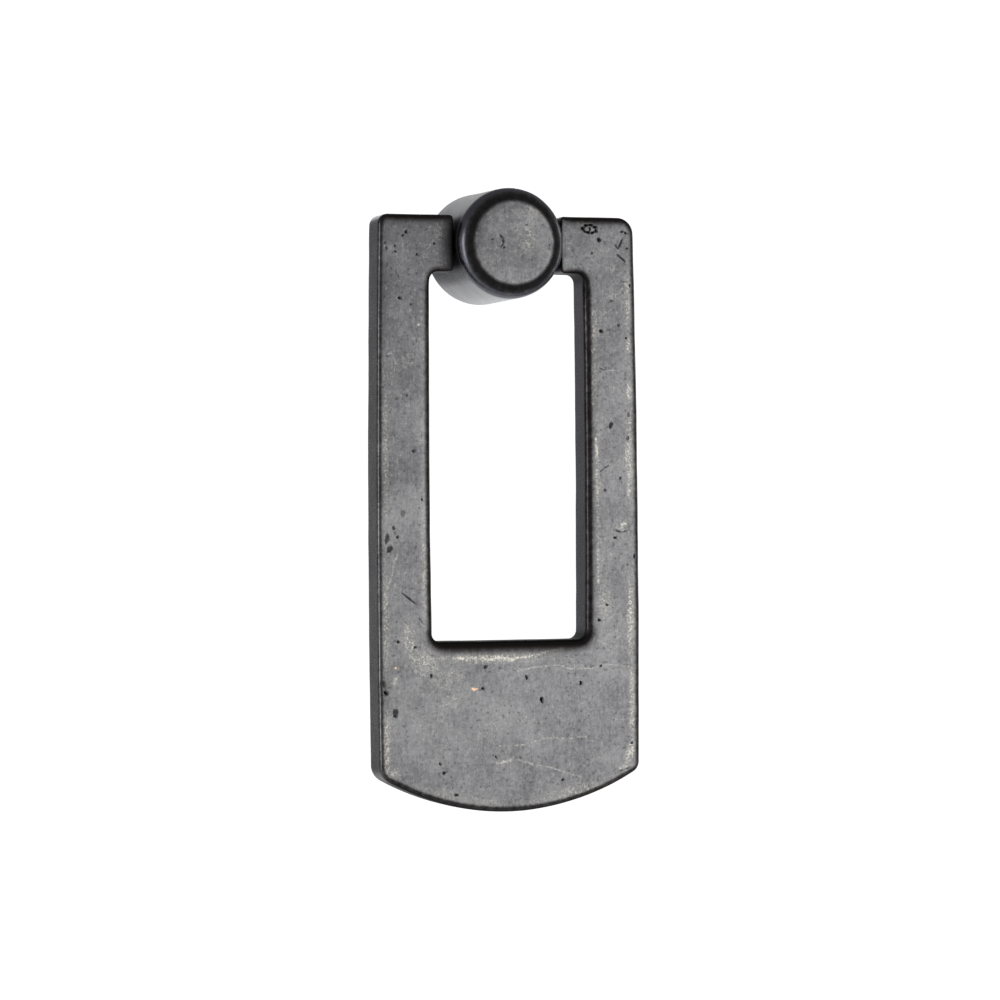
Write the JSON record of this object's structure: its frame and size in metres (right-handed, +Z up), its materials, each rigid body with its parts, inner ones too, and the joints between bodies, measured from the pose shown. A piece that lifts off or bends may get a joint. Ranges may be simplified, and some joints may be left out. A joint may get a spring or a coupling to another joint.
{
  "type": "drop pull",
  "caption": "Drop pull: a flat windowed bail with an arced foot hangs on a pin through a round post that screws to a drawer front.",
  "frame": {"origin": "centre of the post's back face, at the mouth of its tapped hole", "axes": "+Z up along the hanging bail, +Y into the drawer front, -Y towards the hand, +X to the right seen from the front"},
  "size_m": [0.0396, 0.0165, 0.0896],
  "materials": {
    "patinated_bronze": "dark satin patina, rubbed lighter on the faces",
    "dark_steel": "blackened"
  },
  "bodies": {
    "post": {"post": "patinated_bronze"},
    "bail": {"bail": "patinated_bronze", "pivot_pin": "dark_steel"}
  },
  "joints": [
    {"name": "bail_swing", "type": "hinge", "parent": "post", "child": "bail", "pos_m": [0, -0.0109, 0], "axis": [-1, 0, 0], "range_deg": [-5.5, 185.5]}
  ]
}
